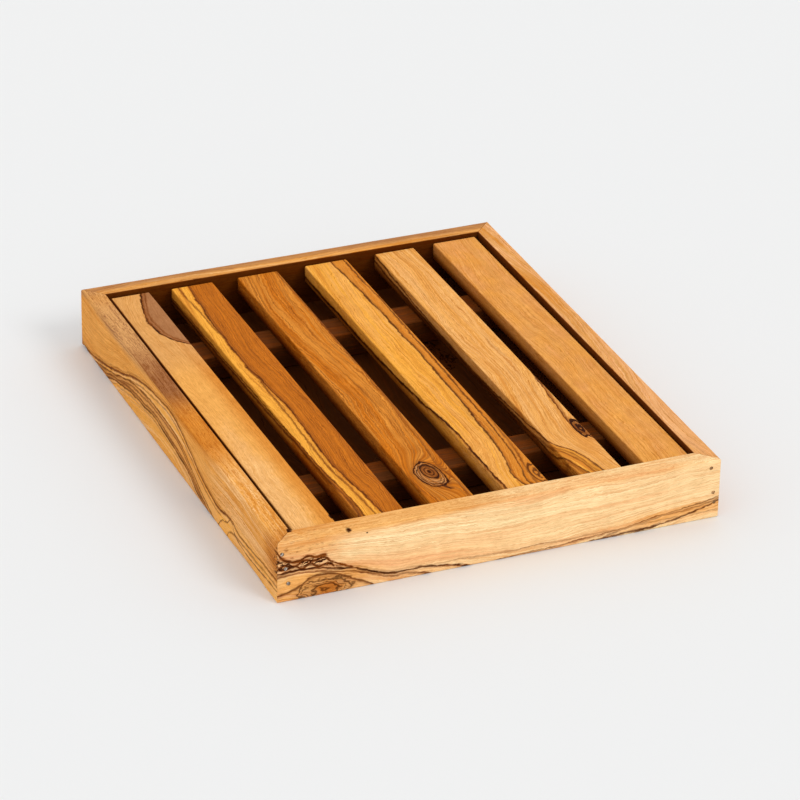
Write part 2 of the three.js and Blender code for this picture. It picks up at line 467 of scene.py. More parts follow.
def olive_figure():
    """The grain that all boards share: bands, rings, veins, flecks and pores along the field."""
    known = bpy.data.node_groups.get("olive_figure")
    if known:
        return known
    tree = bpy.data.node_groups.new("olive_figure", "ShaderNodeTree")
    for name, kind in FIGURE_INPUTS:
        tree.interface.new_socket(name=name, in_out="INPUT", socket_type="NodeSocket" + kind)
    for name, kind in FIGURE_OUTPUTS:
        tree.interface.new_socket(name=name, in_out="OUTPUT", socket_type="NodeSocket" + kind)
    b = Bench(tree)
    given = b.node("NodeGroupInput").outputs
    wood = settings().wood
    spot = b.vector(given["Along"], given["Field"], given["Into"])
    seed = given["Seed"]
    shift = b.vector(b.mul(seed, 7.31), b.mul(seed, 3.77), b.mul(seed, 5.19))

    def grain(along, across, into, detail=2.0, roughness=0.5):
        return b.noise(b.stretch(spot, (along, across, into), shift), detail, roughness)

    broad = grain(0.0065, 0.12, 0.06, 2.0)
    fine = grain(0.010, 0.8, 0.5, 3.0, 0.6)
    hair = grain(0.014, 2.2, 1.4, 3.0, 0.65)
    fleck = grain(0.16, 1.25, 1.25, 3.0, 0.65)
    fibre = grain(0.07, 4.5, 4.5, 2.0)
    pores = grain(0.3, 3.6, 3.6, 1.0)
    curl = grain(0.10, 0.06, 0.09, 2.0)
    zone = grain(0.011, 0.05, 0.05, 1.0)

    # Broad and fine bands.
    band = b.add(b.swing(broad, 1.5), b.swing(fine, 1.5))
    band = b.add(b.mul(band, given["Contrast"]), 0.5)
    tone = b.blend(b.step(band, 0.30, 0.72), given["Pale"], given["Mid"])
    tone = b.blend(b.step(band, 0.62, 1.05), tone, given["Deep"])
    streak = b.mul(b.step(hair, 0.46, 0.68), b.mul(given["Contrast"], 0.9))
    tone = b.blend(streak, tone, given["Deep"])

    # Yearly rings: each darkens slowly and ends sharply.
    year = b.scale(given["Field"], 0.30, b.mul(broad, 7.0))
    year = b.math("FRACT", b.add(year, b.mul(fine, 0.6)))
    late = b.mul(b.step(year, 0.30, 0.94), b.fall(year, 0.94, 1.0))
    late = b.mul(b.mul(late, b.step(b.sub(fleck, b.mul(zone, 0.9)), -0.15, 0.2)), given["Rings"])
    tone = b.blend(late, tone, given["Deep"])

    # Dark veins that come and go.
    vein = b.size(b.sub(grain(0.0045, 0.2, 0.08, 2.5), 0.5))
    vein = b.fall(vein, 0.002, b.mul(fleck, 0.035))
    vein = b.mul(b.mul(vein, b.step(zone, 0.40, 0.62)), given["Veins"])

    # The board's own stains, brown halos and dark lines.
    stain = b.math("MINIMUM", b.mul(given["Stain"], b.add(0.35, b.mul(fine, 1.2))), 1.0)
    tone = b.blend(stain, tone, rgba(wood.mauve))
    halo = b.most(b.mul(vein, 0.7), given["Halo"])
    halo = b.math("MINIMUM", b.mul(halo, b.add(0.3, b.mul(hair, 1.6))), 1.0)
    tone = b.blend(halo, tone, rgba(wood.brown))
    dark = b.math("MINIMUM", b.most(vein, given["Line"]), 1.0)
    tone = b.blend(dark, tone, rgba(wood.dark))

    # Flecks, fibres and pores make the wood lighter and darker.
    pore = b.step(pores, 0.60, 0.72)
    light = b.add(1.0, b.swing(fleck, 0.5))
    light = b.add(light, b.swing(fibre, 0.3))
    light = b.sub(light, b.swing(hair, 0.55))
    light = b.add(light, b.swing(curl, 0.22))
    light = b.sub(light, b.mul(pore, 0.16))
    warmth = b.math("POWER", light, 1.35)
    glow = b.math("POWER", light, 1.8)
    shade = b.node("ShaderNodeCombineColor", {0: light, 1: warmth, 2: glow}).outputs[0]
    tone = b.blend(1.0, tone, shade, "MULTIPLY")

    rough = b.add(0.5, b.swing(fibre, 0.25))
    rough = b.sub(rough, b.mul(dark, 0.05))
    height = b.add(b.mul(fibre, 0.5), b.mul(fleck, 0.35))
    height = b.sub(height, b.add(b.mul(pore, 0.7), b.mul(dark, 0.25)))
    b.node("NodeGroupOutput", {0: tone, 1: rough, 2: height})
    return tree


# What full shade leaves of red, green and blue.
SHADE = (0.10, 0.045, 0.012)

# Oil has dulled the wood, so it hardly mirrors, even along its faces.
GLOSS = 0.01

# How long each board's wood is, in millimetres.
TRAY_WIDTH, TRAY_DEPTH, SLAT_LENGTH, BATTEN_LENGTH = 300.0, 366.0, 335.0, 262.0

# Where the shade on the rails' inner faces begins and is full, from the outer face.
INNER_FACE = 12.5, 13.2


class Board(Bench):
    """One board's wood. Along, across and into are millimetres on the board's own faces. Level
    is across with the wood's waver in it, and the grain follows field."""

    def __init__(self, name, axes, reach, seed, colours):
        self.material = empty_material(name)
        super().__init__(self.material.node_tree)
        self.reach = reach
        self.seed = seed
        # Lines are drawn where into has this value, and slant into the board from there.
        self.datum = 0.0
        self.tones = self.palette(colours)
        place = self.node("ShaderNodeTexCoord").outputs["Object"]
        parts = self.node("ShaderNodeSeparateXYZ", {0: place}).outputs
        self.along, self.across, self.into = (
            self.scale(parts[axis], sign / MM, shift) for axis, sign, shift in axes
        )
        self.spot = self.vector(self.along, self.across, self.into)
        drift = self.wobble((0.009, 0.03, 0.03), (seed, 0, 0), 1.0)
        self.wave = self.wobble((0.045, 0.11, 0.11), (0, seed, 0), 2.0)
        self.ripple = self.wobble((0.26, 0.42, 0.42), (0, 0, seed), 2.0)
        wander = self.add(self.mul(self.wave, 3.4), self.mul(self.ripple, 2.0))
        self.level = self.add(self.across, wander)
        self.field = self.add(self.level, self.mul(drift, 16.0))
        # Lines are thick where wear is 1, and thin where it is 0.
        wear = self.noise(self.stretch(self.spot, (0.05, 0.35, 0.35), (seed, seed, 0)), 2.0)
        self.wear = self.step(wear, 0.30, 0.68)
        self.masks = {"line": 0.0, "halo": 0.0, "stain": 0.0, "shade": 0.0}

    def wobble(self, factors, shift, detail):
        """Noise round 0."""
        return self.sub(self.noise(self.stretch(self.spot, factors, shift), detail), 0.5)

    def palette(self, names):
        """The colours of those names, such as "gold tan amber"."""
        return [rgba(getattr(settings().wood, name)) for name in names.split()]

    def mark(self, kind, mask, strength=1.0):
        """Adds a mask to the dark lines, the brown beside them, the stains or the shade."""
        self.masks[kind] = self.most(self.masks[kind], self.mul(mask, strength))

    def tint(self, mask, strength, colours):
        """Other pale, middle and deep colours where the mask is 1."""
        mask = self.mul(mask, strength)
        self.tones = [
            self.blend(mask, tone, other)
            for tone, other in zip(self.tones, self.palette(colours))
        ]

    def trace(self, points):
        """The height of a path over the board's length."""
        return self.path(self.along, self.reach, points)

    def lean(self, amount):
        """The growth rings lean into the board."""
        self.field = self.add(self.field, self.mul(self.into, amount))

    def bend(self, points, fade=None):
        """The grain follows a path. With fade, it straightens out at that height."""
        path = self.trace(points)
        if fade:
            path = self.mul(path, self.fall(self.across, 0.0, fade))
        self.field = self.sub(self.field, path)

    def line(self, points, width, strength=1.0, side=0.0, reach=4.0, start=None, end=None):
        """A dark line along a path, of uneven width. Side is where the wood by it is brown:
        above it at 1, below it at -1, and narrowly on both sides at 0. Reach is how far that
        brown goes. Start and end are where the line starts and ends."""
        gap = self.add(self.level, self.sub(self.into, self.datum))
        gap = self.sub(gap, self.trace(points))
        far = self.size(gap)
        thick = self.scale(self.wear, width * 0.8, width * 0.25)
        core = self.fall(far, width * 0.1, thick)
        core = self.mul(core, self.scale(self.wear, 0.4, 0.6))
        if side:
            gap = self.mul(gap, side)
            near = self.step(gap, -0.6 * width, 0.0)
            beside = self.mul(near, self.fall(gap, -0.5 * width, reach))
        else:
            beside = self.fall(far, width * 0.2, width * 1.6)
        if end:
            run = self.fall(self.along, end - 3.0, end)
            core, beside = self.mul(core, run), self.mul(beside, run)
        if start:
            run = self.step(self.along, start, start + 3.0)
            core, beside = self.mul(core, run), self.mul(beside, run)
        self.mark("line", core, strength * strength)
        self.mark("halo", beside, 1.2 * strength)

    def below(self, points, soft=1.5):
        """1 below a path."""
        return self.step(self.sub(self.trace(points), self.level), 0.0, soft)

    def above(self, points, soft=1.5):
        """1 above a path."""
        return self.step(self.sub(self.level, self.trace(points)), 0.0, soft)

    def between(self, upper, lower, soft=1.5):
        """1 between two paths."""
        return self.mul(self.below(upper, soft), self.above(lower, soft))

    def ellipse(self, along, across, radii):
        """Distance from the middle of an ellipse, where 1 is its edge."""
        along = self.math("DIVIDE", along, radii[0])
        across = self.math("DIVIDE", across, radii[1])
        return self.math("SQRT", self.add(self.mul(along, along), self.mul(across, across)))

    def spread(self, centre, radii, ragged=0.5):
        """Distance from a spot, where 1 is the edge of an ellipse with a ragged outline."""
        along, across = self.sub(self.along, centre[0]), self.sub(self.level, centre[1])
        ragged = self.add(self.mul(self.wave, ragged * 1.6), self.mul(self.ripple, ragged))
        return self.add(self.ellipse(along, across, radii), ragged)

    def patch(self, centre, radii, soft=0.5, ragged=0.5):
        """1 inside an ellipse and 0 outside it, with a soft edge."""
        return self.fall(self.spread(centre, radii, ragged), 1.0 - soft, 1.0 + soft)

    def zone(self, centre, radii, soft, strength, colours, ragged=0.5):
        """Other colours inside an ellipse with a soft edge."""
        self.tint(self.patch(centre, radii, soft, ragged), strength, colours)

    def chip_and_shadow(self, centre, radii):
        """A dark spot in the wood, round a point along, across and into it. It marks chips and
        cracks, and round a brad's head it is painted shadow.
        """
        factors = [1 / radius for radius in radii]
        gap = self.stretch(self.spot, factors, [-at * by for at, by in zip(centre, factors)])
        reach = self.node("ShaderNodeVectorMath", {0: gap}, operation="LENGTH")
        reach = self.add(reach.outputs["Value"], self.mul(self.ripple, 1.2))
        self.mark("line", self.fall(reach, 0.6, 1.15))

    def swell(self, reach, amount):
        """The grain flows round a knot, by the distance from its middle."""
        bump = self.math("EXPONENT", self.mul(self.mul(reach, reach), -0.9))
        self.field = self.add(self.field, self.mul(bump, amount))

    def knot(self, centre, radii, swell, pitch, strength=1.0, ragged=0.5, weight=0.12):
        """Grain flows round a knot, which has ragged rings. Weight widens the rings."""
        reach = self.spread(centre, radii, ragged)
        self.swell(reach, swell)
        uneven = self.add(self.mul(self.wave, 1.6), self.mul(self.ripple, 0.5))
        ring = self.scale(reach, 1 / pitch, 0.5 - 0.92 / pitch)
        ring = self.math("FRACT", self.add(ring, uneven))
        ring = self.size(self.sub(ring, 0.5))
        inside = self.mul(self.fall(reach, 1.0, 1.12), strength)
        thick = self.scale(self.wear, 0.22, weight)
        core = self.fall(ring, self.mul(thick, 0.5), thick)
        self.mark("line", self.mul(core, inside))
        self.mark("halo", self.mul(self.fall(ring, 0.08, 0.5), inside))

    def eye(self, centre, radii, slant, swell, rings, ragged=0.5):
        """A smooth knot that slants across the board. Each ring has a distance from the middle,
        a width and a strength. Gives the distance, where 1 is the knot's edge."""
        along = self.sub(self.along, centre[0])
        across = self.sub(self.sub(self.across, centre[1]), self.mul(along, slant))
        uneven = self.add(self.wave, self.mul(self.ripple, 0.36))
        reach = self.add(self.ellipse(along, across, radii), self.mul(uneven, ragged))
        self.swell(reach, swell)
        for ring, width, strength in rings:
            gap = self.size(self.sub(reach, ring))
            thick = self.scale(self.wear, width * 0.8, width * 0.4)
            self.mark("line", self.fall(gap, width * 0.2, thick), strength)
            self.mark("halo", self.fall(gap, 0.0, width * 3.0), 0.6 * strength)
        return reach

    def burl(self, mask, strength=1.0):
        """Dark wood that flows in squiggles between small pale islands."""
        swirl = self.mul(self.noise(self.stretch(self.spot, (0.16, 0.22, 0.22), (3, 1, 0))), 1.6)
        spot = self.vector(
            self.scale(self.along, 0.07, swirl),
            self.scale(self.across, 0.2, swirl),
            self.mul(self.into, 0.2),
        )
        flow = self.noise(spot, 2.0, 0.55, 0.7)
        ridge = self.math("FRACT", self.mul(flow, 5.0))
        ridge = self.size(self.sub(ridge, 0.5))
        core = self.fall(ridge, 0.11, self.add(0.18, self.mul(self.wear, 0.22)))
        self.mark("line", self.mul(core, mask), strength)
        self.mark("halo", self.mul(self.fall(ridge, 0.15, 0.48), mask), 0.28)

    def shade_inside(self, depth):
        """Shades a rail's inner face. Depth is the distance from its outer face."""
        self.mark("shade", self.step(depth, *INNER_FACE), 0.85)

    def finish(self, contrast, rings, veins):
        """Joins the board's own figure to the shared grain and the shader. Contrast is that of
        the bands, and rings and veins are how strong the yearly rings and dark veins are."""
        pale, mid, deep = self.tones
        group = self.node("ShaderNodeGroup", node_tree=olive_figure())
        self.feed(
            group,
            {
                "Along": self.along, "Field": self.field, "Into": self.into, "Seed": self.seed,
                "Pale": pale, "Mid": mid, "Deep": deep, "Contrast": contrast, "Rings": rings,
                "Veins": veins, "Stain": self.masks["stain"], "Halo": self.masks["halo"],
                "Line": self.masks["line"],
            },
        )
        bump = self.node(
            "ShaderNodeBump",
            {"Height": group.outputs["Height"], "Strength": 0.25, "Distance": 0.12 * MM},
        )
        # Shade takes blue away first and red last, as it does between two faces of wood.
        shade = self.masks["shade"]
        dim = {at: self.math("POWER", left, shade) for at, left in enumerate(SHADE)}
        dim = self.node("ShaderNodeCombineColor", dim)
        tone = self.blend(1.0, group.outputs["Color"], dim.outputs[0], "MULTIPLY")
        shader = self.node(
            "ShaderNodeBsdfPrincipled",
            {
                "Base Color": tone, "Roughness": group.outputs["Roughness"],
                "Normal": bump.outputs[0], "Specular IOR Level": GLOSS,
            },
        )
        self.node("ShaderNodeOutputMaterial", {0: shader.outputs[0]})
        return self.material


# What a board's along, across and into are read from: the axis, its sign and its shift in
# millimetres.
FROM_LEFT, FROM_RIGHT = (0, 1, TRAY_WIDTH / 2), (0, -1, TRAY_WIDTH / 2)
FROM_FRONT, FROM_BACK = (1, 1, TRAY_DEPTH / 2), (1, -1, TRAY_DEPTH / 2)
UP = (2, 1, 0.0)

# The room round a brad's head, and the length of the drill that cuts it.
POCKET_ROOM, POCKET_DEPTH = 0.12 * MM, 2.2 * MM

# Brads across each mitre: in from the tray's side and up from the table, in millimetres.
BRAD_ROWS = {
    ("front", "left"): [(3.2, 34.0), (5.6, 23.4), (7.4, 12.8)],
    ("front", "right"): [(6.6, 36.6), (4.2, 18.7), (3.2, 11.5)],
    ("back", "left"): [(5.4, 34.0), (5.6, 23.0), (5.1, 12.3)],
    ("back", "right"): [(5.6, 34.4), (5.1, 23.4), (5.4, 11.9)],
}


def front_rail_wood():
    axes = (FROM_LEFT, UP, FROM_FRONT)
    board = Board("front_rail_wood", axes, TRAY_WIDTH, 2.0, "cream peach rose")
    board.lean(0.35)
    board.bend(
        [(0, 21), (30, 20), (50, 15), (75, 8), (110, 6), (150, 2), (200, 3), (250, 8), (300, 15)],
        fade=58.0,
    )
    # Pinker wood low down, paler wood at the right, golden wood on the top and redder wood
    # round the burl. The top's darker left half is partly painted shade.
    board.zone((120, 14), (120, 10), 0.8, 0.5, "peach peach rose")
    board.zone((215, 26), (110, 16), 0.7, 0.45, "cream cream peach")
    # Painted shade in part: the left half of the top is darker than its right.
    board.zone((80, 45), (80, 6), 0.4, 0.8, "gold amber amber", 0.2)
    board.zone((230, 45), (90, 6), 0.4, 0.25, "gold gold amber", 0.2)
    board.zone((80, 12), (64, 8), 0.8, 0.8, "peach rose rose")
    board.zone((8, 35), (32, 9), 0.6, 0.7, "gold amber ginger")
    board.zone((20, 6), (42, 14), 0.6, 0.85, "gold rose amber")
    board.zone((110, 0), (60, 5), 0.5, 0.5, "peach gold amber")
    board.zone((285, 8), (50, 6), 0.6, 0.7, "peach gold amber")
    # Lines that sweep down from the left end.
    board.line(
        [(0, 20), (15, 21), (30, 19.5), (45, 16), (60, 11), (75, 6.2), (86, 5.6), (98, 6),
         (110, 4.6), (126, 1.4), (142, -3), (300, -8)], 1.9, 1.0, -1, 2.4,
    )
    board.line(
        [(0, 18), (15, 18.6), (30, 17), (45, 13.6), (60, 9.2), (75, 4.4), (90, 3), (110, -2),
         (300, -8)], 0.9, 0.6,
    )
    board.line(
        [(0, 23), (20, 23), (35, 20.5), (50, 16), (62, 12), (75, 8), (90, 7.4), (104, 6.6),
         (300, 6)], 0.7, 0.3,
    )
    # Lines that rise to the right end.
    board.line(
        [(0, -8), (120, -5), (148, 0.8), (175, 1.8), (202, 3), (230, 5), (255, 9), (270, 11),
         (285, 12.5), (300, 16)], 0.9, 0.6, -1, 2.0,
    )
    board.line(
        [(0, -8), (190, -4), (212, 0.5), (240, 1.4), (265, 3.4), (285, 8), (300, 12.5)], 1.3,
        0.85, 1, 1.6,
    )
    board.line(
        [(0, -8), (200, -4), (226, 3), (248, 6.5), (262, 9), (280, 10), (300, 14)], 0.8, 0.45,
    )
    # The burl below the rim at the left end, and the lines that wind through it.
    burl = board.between(
        [(0, 33), (6, 29.5), (14, 28.5), (30, 28.5), (33, 26), (38, 22), (46, 18), (60, 8),
         (300, -8)],
        [(0, 20.5), (15, 21), (30, 19.5), (45, 16), (300, 10)], 3.0,
    )
    board.burl(burl)
    board.zone((14, 26), (24, 7), 0.5, 0.8, "peach rose rose")
    board.line(
        [(0, 36), (3, 31), (8, 28), (14, 27.2), (20, 29.8), (26, 28), (31, 28.4), (36, 26),
         (300, 26)], 1.4, 0.95, end=34.0,
    )
    board.line(
        [(0, 23.5), (5, 26), (11, 24.4), (18, 26.8), (24, 25.4), (30, 26.6), (36, 24),
         (300, 24)], 1.1, 0.9, end=35.0,
    )
    board.line(
        [(0, 27), (6, 22.6), (11, 24.6), (16, 21.8), (22, 24), (27, 21.2), (33, 22.2), (40, 18.4),
         (300, 16)], 1.0, 0.9, end=39.0,
    )
    board.line(
        [(0, 29), (28, 27.4), (36, 22.8), (44, 18.6), (52, 15), (300, 15)], 0.9, 0.85,
        start=27.0, end=52.0,
    )
    # The knot at the lower left, and the line over it.
    rings = [(1.0, 0.11, 0.7), (0.78, 0.07, 0.6), (0.55, 0.12, 0.75), (0.2, 0.12, 0.7)]
    board.eye((31, 3.5), (16, 9), 0.0, 8.0, rings, 1.3)
    board.zone((33, 5), (9, 5), 0.4, 0.8, "ginger honey brown", 0.7)
    board.line(
        [(0, 5), (14, 9), (24, 14.5), (34, 14.8), (42, 12), (52, 6.5), (62, 1.5), (75, -6),
         (300, -8)], 2.0, 0.75, -1, 3.5,
    )
    # Specks, chips, and painted shadow round the brads' heads.
    specks = board.mul(board.step(board.ripple, 0.02, 0.2), board.patch((8, 34), (30, 9), 0.6))
    board.mark("halo", specks, 0.5)
    board.chip_and_shadow((47, 43, 1.2), (2.4, 2.6, 2.6))
    board.chip_and_shadow((12, 43, 12.0), (2.8, 2.2, 1.6))
    # Painted shadow in a ring round each left brad's head.
    for inset, height in BRAD_ROWS["front", "left"]:
        board.chip_and_shadow((inset, height, 0), (1.5, 1.5, 1.5))
    board.chip_and_shadow((59, 38, 0), (0.9, 0.6, 1.0))
    board.shade_inside(board.into)
    return board.finish(0.82, 0.2, 0.03)


def left_rail_wood():
    axes = (FROM_BACK, UP, FROM_LEFT)
    board = Board("left_rail_wood", axes, TRAY_DEPTH, 5.0, "gold gold amber")
    board.lean(0.5)
    board.bend(
        [(0, 2), (40, 4), (90, 22), (130, 29), (180, 31), (215, 24), (245, 12), (275, 10),
         (300, 10), (366, 12)], fade=58.0,
    )
    board.zone((328, 32), (72, 20), 0.6, 0.85, "peach gold amber")
    # The tones along the top.
    board.zone((0, 45), (14, 6), 0.4, 0.8, "tan mauve mauve", 0.2)
    board.zone((75, 45), (65, 7), 0.5, 1.0, "tan tan mauve", 0.2)
    rim = board.step(board.across, 41.2, 42.2)
    stain = board.mul(board.patch((150, 45), (46, 10), 0.8, 0.6), rim)
    board.tint(stain, 1.0, "mauve mauve brown")
    stain = board.mul(board.patch((156, 45), (32, 8), 0.6, 0.6), rim)
    board.tint(stain, 0.3, "brown brown umber")
    board.zone((216, 45), (42, 6), 0.5, 1.0, "amber amber honey", 0.2)
    # Three long lines part the tones of the face.
    edge = [(0, 1), (30, 4.5), (60, 12), (80, 18), (100, 25.5), (120, 31), (140, 34.5),
            (160, 36.5), (176, 37.5), (190, 35), (205, 30), (215, 26.5), (230, 20), (250, 15.5),
            (268, 14), (285, 16.5), (300, 13), (330, 14), (366, 16.5)]
    second = [(0, -5), (40, 4), (60, 9), (80, 15), (100, 21), (120, 24.5), (150, 26.8),
              (180, 25.8), (195, 24), (205, 20.5), (215, 16), (230, 9.5), (245, 4), (258, 0),
              (275, -6), (366, -8)]
    third = [(0, -6), (50, 1), (60, 4), (80, 9), (100, 13), (120, 15.5), (150, 17.6),
             (165, 16.5), (175, 15), (190, 13), (205, 11), (215, 8), (225, 4), (240, 0),
             (262, -6), (366, -8)]
    board.tint(board.between(edge, second), 0.9, "peach straw gold")
    board.tint(board.between(second, third), 0.85, "gold gold mauve")
    board.tint(board.below(third), 0.8, "peach straw gold")
    board.zone((222, 20), (36, 12), 0.5, 0.5, "gold amber amber")
    board.zone((312, 7), (66, 9), 0.5, 0.85, "straw peach gold")
    board.zone((276, 7), (14, 8), 0.5, 0.7, "peach straw straw")
    board.line(edge, 1.2, 0.7, end=289.0)
    board.line(edge, 0.9, 0.55, start=286.0)
    board.line(shifted(edge, -3.6), 0.8, 0.42, end=270.0)
    board.line(shifted(edge, 2.2), 0.8, 0.3, end=270.0)
    board.line(second, 1.4, 0.74, -1, 2.0)
    board.line(shifted(second, -3.0), 0.9, 0.52)
    board.line(third, 1.9, 0.82, 1, 2.4)
    board.line(shifted(third, 2.4), 1.0, 0.6)
    board.line(shifted(third, -2.6), 0.8, 0.3)
    # Lines that hook up near the front end.
    board.line([(0, -9), (250, -6), (262, 0), (270, 7), (280, 11), (286, 16), (292, 10),
                (305, 7), (330, 6.8), (366, 9)], 1.4, 0.74, -1, 1.6)
    board.line([(0, -9), (268, -6), (278, 0), (284, 6), (290, 8.5), (310, 9.5), (340, 10.5),
                (366, 12.5)], 0.9, 0.45)
    board.burl(board.patch((366, 28), (6, 10), 0.4, 0.6), 0.9)
    board.zone((362, 30), (14, 14), 0.7, 0.8, "amber honey brown")
    board.chip_and_shadow((354, 43, 12.2), (3.4, 2.0, 1.5))
    board.shade_inside(board.into)
    return board.finish(1.35, 0.45, 0.06)


def right_rail_wood():
    axes = (FROM_FRONT, FROM_RIGHT, UP)
    board = Board("right_rail_wood", axes, TRAY_DEPTH, 9.0, "peach gold amber")
    board.lean(0.7)
    board.tint(1.0, 0.7, "rose tan amber")
    board.bend([(0, 10), (60, 14), (140, 8), (220, 4), (300, 9), (366, 12)])
    board.shade_inside(board.across)
    return board.finish(1.0, 0.4, 0.15)


def back_rail_wood():
    axes = (FROM_LEFT, FROM_BACK, UP)
    board = Board("back_rail_wood", axes, TRAY_WIDTH, 13.0, "gold tan amber")
    board.lean(0.6)
    board.bend([(0, 12), (60, 9), (140, 12), (220, 6), (300, 9)])
    streak = board.between(
        [(0, 1), (40, 6), (90, 10), (300, 12)], [(0, 0), (40, 3.5), (90, 7), (300, 11)], 1.2,
    )
    board.mark("stain", board.fall(board.level, 5.0, 9.5), 0.75)
    board.tint(streak, 0.8, "peach gold gold")
    board.shade_inside(board.across)
    return board.finish(1.1, 0.5, 0.25)


# Rails.


def bench_rail(name, run, cuts):
    """A rail with its outer face on Y = 0, mitred at both ends and rounded."""
    tray = settings().tray
    deep, tall = tray.rail, tray.height
    piece = add_block(name, (-run / 2, 0, 0), (run / 2, deep, tall))
    subdivide(piece, 0, cuts)
    subdivide(piece, 2, 5)
    subdivide(piece, 1, 2)
    for side in (-1, 1):
        slice_off(piece, (side * (run - tray.glue_line) / 2, 0, 0), (side, 1, 0))

    def on_line(y, z):
        return lambda a, b: all(abs(p.y - y) < TOUCH and abs(p.z - z) < TOUCH for p in (a, b))

    round_edges(piece, on_line(0, tall), tray.outer_round)
    round_edges(piece, on_line(deep, tall), tray.inner_round)
    round_edges(piece, on_line(0, 0), tray.foot_round, 3)
    round_edges(piece, on_line(deep, 0), tray.foot_round, 3)

    def on_mitre(a, b):
        reach = (run - tray.glue_line) / 2
        return any(
            all(abs(side * p.x + p.y - reach) < TOUCH for p in (a, b)) for side in (-1, 1)
        )

    round_edges(piece, on_mitre, tray.mitre_round, 2)
    return piece


def make_rail(name, run, cuts, seed, turn, x, y):
    """A rail, sanded on the bench, then turned and set in its place."""
    piece = bench_rail(name, run, cuts)
    sand(piece, settings().tray.unevenness, seed)
    piece.rotation_euler.z = turn
    piece.location = (x, y, 0)
    apply_place(piece)
    return piece


def brad_spots(row):
    """Where the brads of one row stand, in metres."""
    side = -1 if row[1] == "left" else 1
    half = settings().tray.width / 2
    return [(side * (half - inset * MM), height * MM) for inset, height in BRAD_ROWS[row]]


def sink_brads(piece, end):
    """Cuts the pockets that the brads' heads lie in. End is front or back."""
    tray, brads = settings().tray, settings().brads
    side = -1 if end == "front" else 1
    pockets = []
    for x, z in brad_spots((end, "left")) + brad_spots((end, "right")):
        deselect_all()
        bpy.ops.mesh.primitive_cylinder_add(
            vertices=brads.sides, radius=brads.head + POCKET_ROOM, depth=POCKET_DEPTH,
            location=(x, side * tray.depth / 2, z), rotation=(pi / 2, 0, 0),
        )
        pockets.append(bpy.context.active_object)
    deselect_all()
    for pocket in pockets:
        pocket.select_set(True)
    bpy.context.view_layer.objects.active = pockets[0]
    bpy.ops.object.join()
    cutter = bpy.context.active_object
    modifier = piece.modifiers.new("brad_pockets", type="BOOLEAN")
    modifier.object = cutter
    modifier.operation = "DIFFERENCE"
    modifier.solver = "EXACT"
    make_active(piece)
    bpy.ops.object.modifier_apply(modifier=modifier.name)
    bpy.data.objects.remove(cutter)


def build_front_rail():
    tray = settings().tray
    piece = make_rail("front_rail_piece", tray.width, 59, 1, 0, 0, -tray.depth / 2)
    # The dent under the chip in the rim.
    press(piece, (-103 * MM, -tray.depth / 2, tray.height), 3.2 * MM, (0, 0.5 * MM, -0.7 * MM))
    sink_brads(piece, "front")
    finish(piece, front_rail_wood(), "tray", "front_rail")


def build_back_rail():
    tray = settings().tray
    piece = make_rail("back_rail_piece", tray.width, 59, 2, pi, 0, tray.depth / 2)
    sink_brads(piece, "back")
    finish(piece, back_rail_wood(), "tray", "back_rail")


def build_left_rail():
    tray = settings().tray
    side = -tray.width / 2
    piece = make_rail("left_rail_piece", tray.depth, 73, 3, -pi / 2, side, 0)
    # Bark edge at the lower back corner, and again near the front.
    press(piece, (side, 181 * MM, 0), 12 * MM, (0.5 * MM, 0, 0.6 * MM))
    for y in (-118, -132, -146):
        press(piece, (side, y * MM, 0), 14 * MM, (0.3 * MM, 0, 0.2 * MM))
    finish(piece, left_rail_wood(), "tray", "left_rail")


def build_right_rail():
    tray = settings().tray
    piece = make_rail("right_rail_piece", tray.depth, 73, 4, pi / 2, tray.width / 2, 0)
    finish(piece, right_rail_wood(), "tray", "right_rail")


class BREADBOARD_OT_rails(bpy.types.Operator):
    """Builds the four mitred rails of the tray"""

    bl_idname = "bread_board.rails"
    bl_label = "Rails"
    bl_options = {"REGISTER", "UNDO"}

    def execute(self, context):
        build_front_rail()
        build_back_rail()
        build_left_rail()
        build_right_rail()
        return {"FINISHED"}


# Floor board.


def floor_wood():
    axes = (FROM_FRONT, FROM_LEFT, UP)
    # Umber and brown, and the shade mark, are partly painted shade from the slats above.
    board = Board("floor_board_wood", axes, TRAY_DEPTH, 21.0, "umber umber brown")
    board.lean(0.4)
    board.bend([(0, 4), (90, 12), (180, 6), (270, 14), (366, 8)])
    board.knot((250, 205), (26, 14), 16.0, 0.3)
    board.mark("shade", 0.2)
    return board.finish(1.1, 0.6, 0.7)


class BREADBOARD_OT_floor_board(bpy.types.Operator):
    """Builds the floor board that the crumbs fall on"""

    bl_idname = "bread_board.floor_board"
    bl_label = "Floor board"
    bl_options = {"REGISTER", "UNDO"}

    def execute(self, context):
        low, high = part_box("floor_board")
        piece = add_block("floor_board_piece", low, high)
        subdivide(piece, 1, 35)
        subdivide(piece, 0, 29)
        round_sharp_edges(piece, settings().tray.floor_round, 3)
        sand(piece, settings().tray.under_unevenness, 5)
        finish(piece, floor_wood(), "tray", "floor_board")
        return {"FINISHED"}


# Grate.


# The grate's sizes in millimetres, from the tray's middle and up from the table, before the
# grate is laid askew. A reach is half a length, and BATTEN_HALF is half a width.
SLAT_REACH, SLAT_LOW, SLAT_HIGH = 167.35, 28.0, 40.0
BATTEN_REACH, BATTEN_HALF, BATTEN_LOW, BATTEN_HIGH = 130.55, 12.5, 10.4, 27.9
BATTEN_MIDDLE = 96.85

# Each slat: its left side and its width, in millimetres from the grate's middle.
SLATS = [
    (-134.55, 28.69), (-90.55, 29.89), (-42.68, 29.41), (6.64, 31.09), (58.35, 29.80),
    (102.84, 31.73),
]


